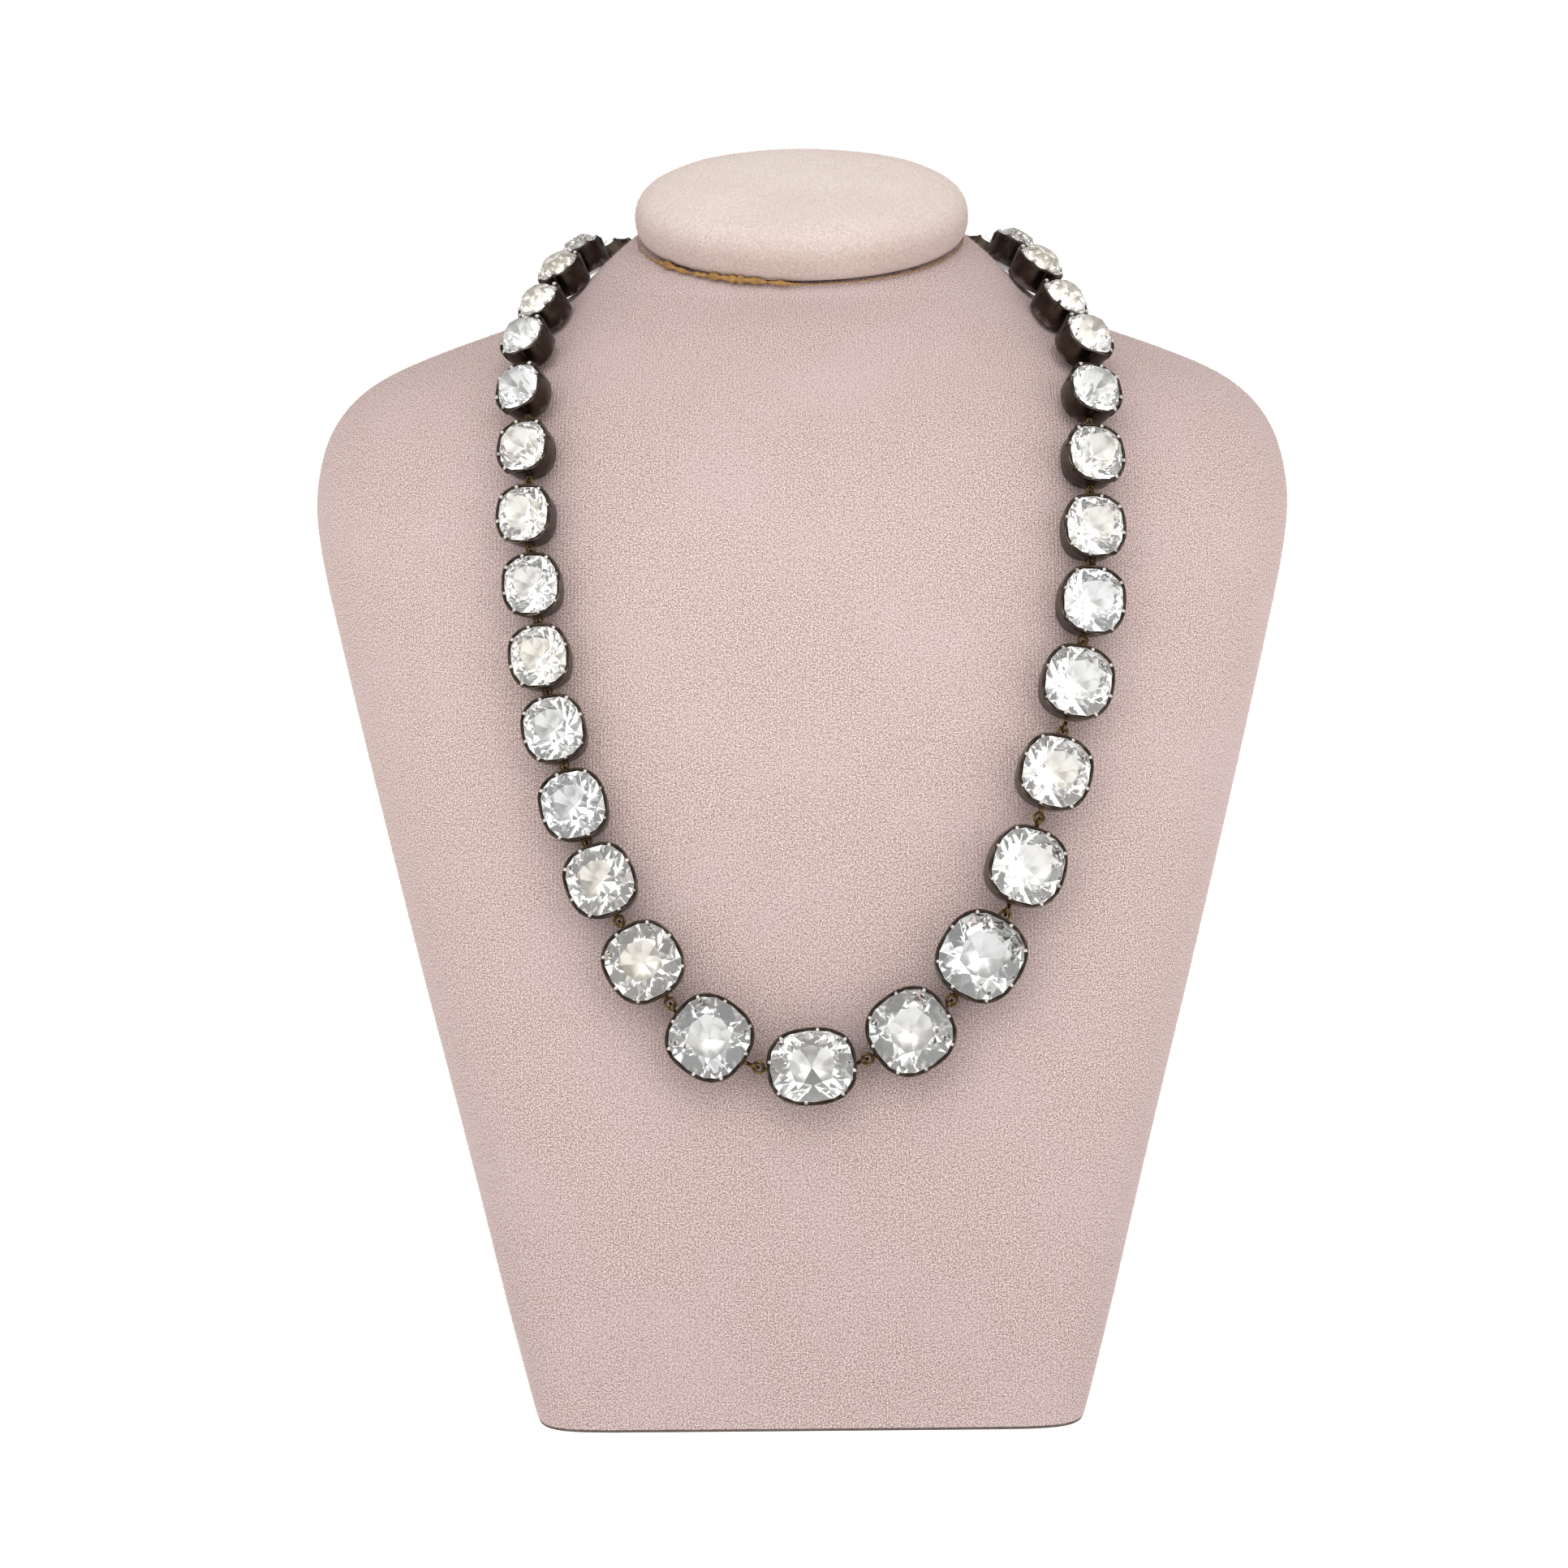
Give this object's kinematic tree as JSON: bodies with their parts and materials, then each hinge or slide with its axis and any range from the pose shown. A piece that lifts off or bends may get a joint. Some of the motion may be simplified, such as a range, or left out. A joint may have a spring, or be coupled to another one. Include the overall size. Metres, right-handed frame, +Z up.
{
  "type": "riviere necklace on a neck bust",
  "caption": "Riviere of graduated cushion-cut clear stones in closed claw-edged silver settings, lying in a closed loop round a fabric-covered neck bust with a padded cap.",
  "frame": {"origin": "middle of the whole piece's footprint, at the underside of the bust's foot", "axes": "+Z up, +X to the right as seen from the front, +Y from the front to the back"},
  "size_m": [0.202, 0.1479, 0.2406],
  "materials": {
    "bust_fabric": "napped dusty rose fabric",
    "cap_fabric": "looped pale rose fabric",
    "blackened_silver": "blackened silver, brighter on the claws",
    "clasp_silver": "blackened silver",
    "clear_stone": "polished facets"
  },
  "bodies": {
    "root": {"bust_body": "bust_fabric", "bust_cap": "cap_fabric", "setting_centre": "blackened_silver", "settings_right": "blackened_silver", "settings_left": "blackened_silver", "clasp": "clasp_silver", "stone_centre": "clear_stone", "stone_right_01": "clear_stone", "stone_right_02": "clear_stone", "stone_right_03": "clear_stone", "stone_right_04": "clear_stone", "stone_right_05": "clear_stone", "stone_right_06": "clear_stone", "stone_right_07": "clear_stone", "stone_right_08": "clear_stone", "stone_right_09": "clear_stone", "stone_right_10": "clear_stone", "stone_right_11": "clear_stone", "stone_right_12": "clear_stone", "stone_right_13": "clear_stone", "stone_right_14": "clear_stone", "stone_right_15": "clear_stone", "stone_right_16": "clear_stone", "stone_left_01": "clear_stone", "stone_left_02": "clear_stone", "stone_left_03": "clear_stone", "stone_left_04": "clear_stone", "stone_left_05": "clear_stone", "stone_left_06": "clear_stone", "stone_left_07": "clear_stone", "stone_left_08": "clear_stone", "stone_left_09": "clear_stone", "stone_left_10": "clear_stone", "stone_left_11": "clear_stone", "stone_left_12": "clear_stone", "stone_left_13": "clear_stone", "stone_left_14": "clear_stone", "stone_left_15": "clear_stone", "stone_left_16": "clear_stone", "stone_left_17": "clear_stone"}
  },
  "joints": []
}
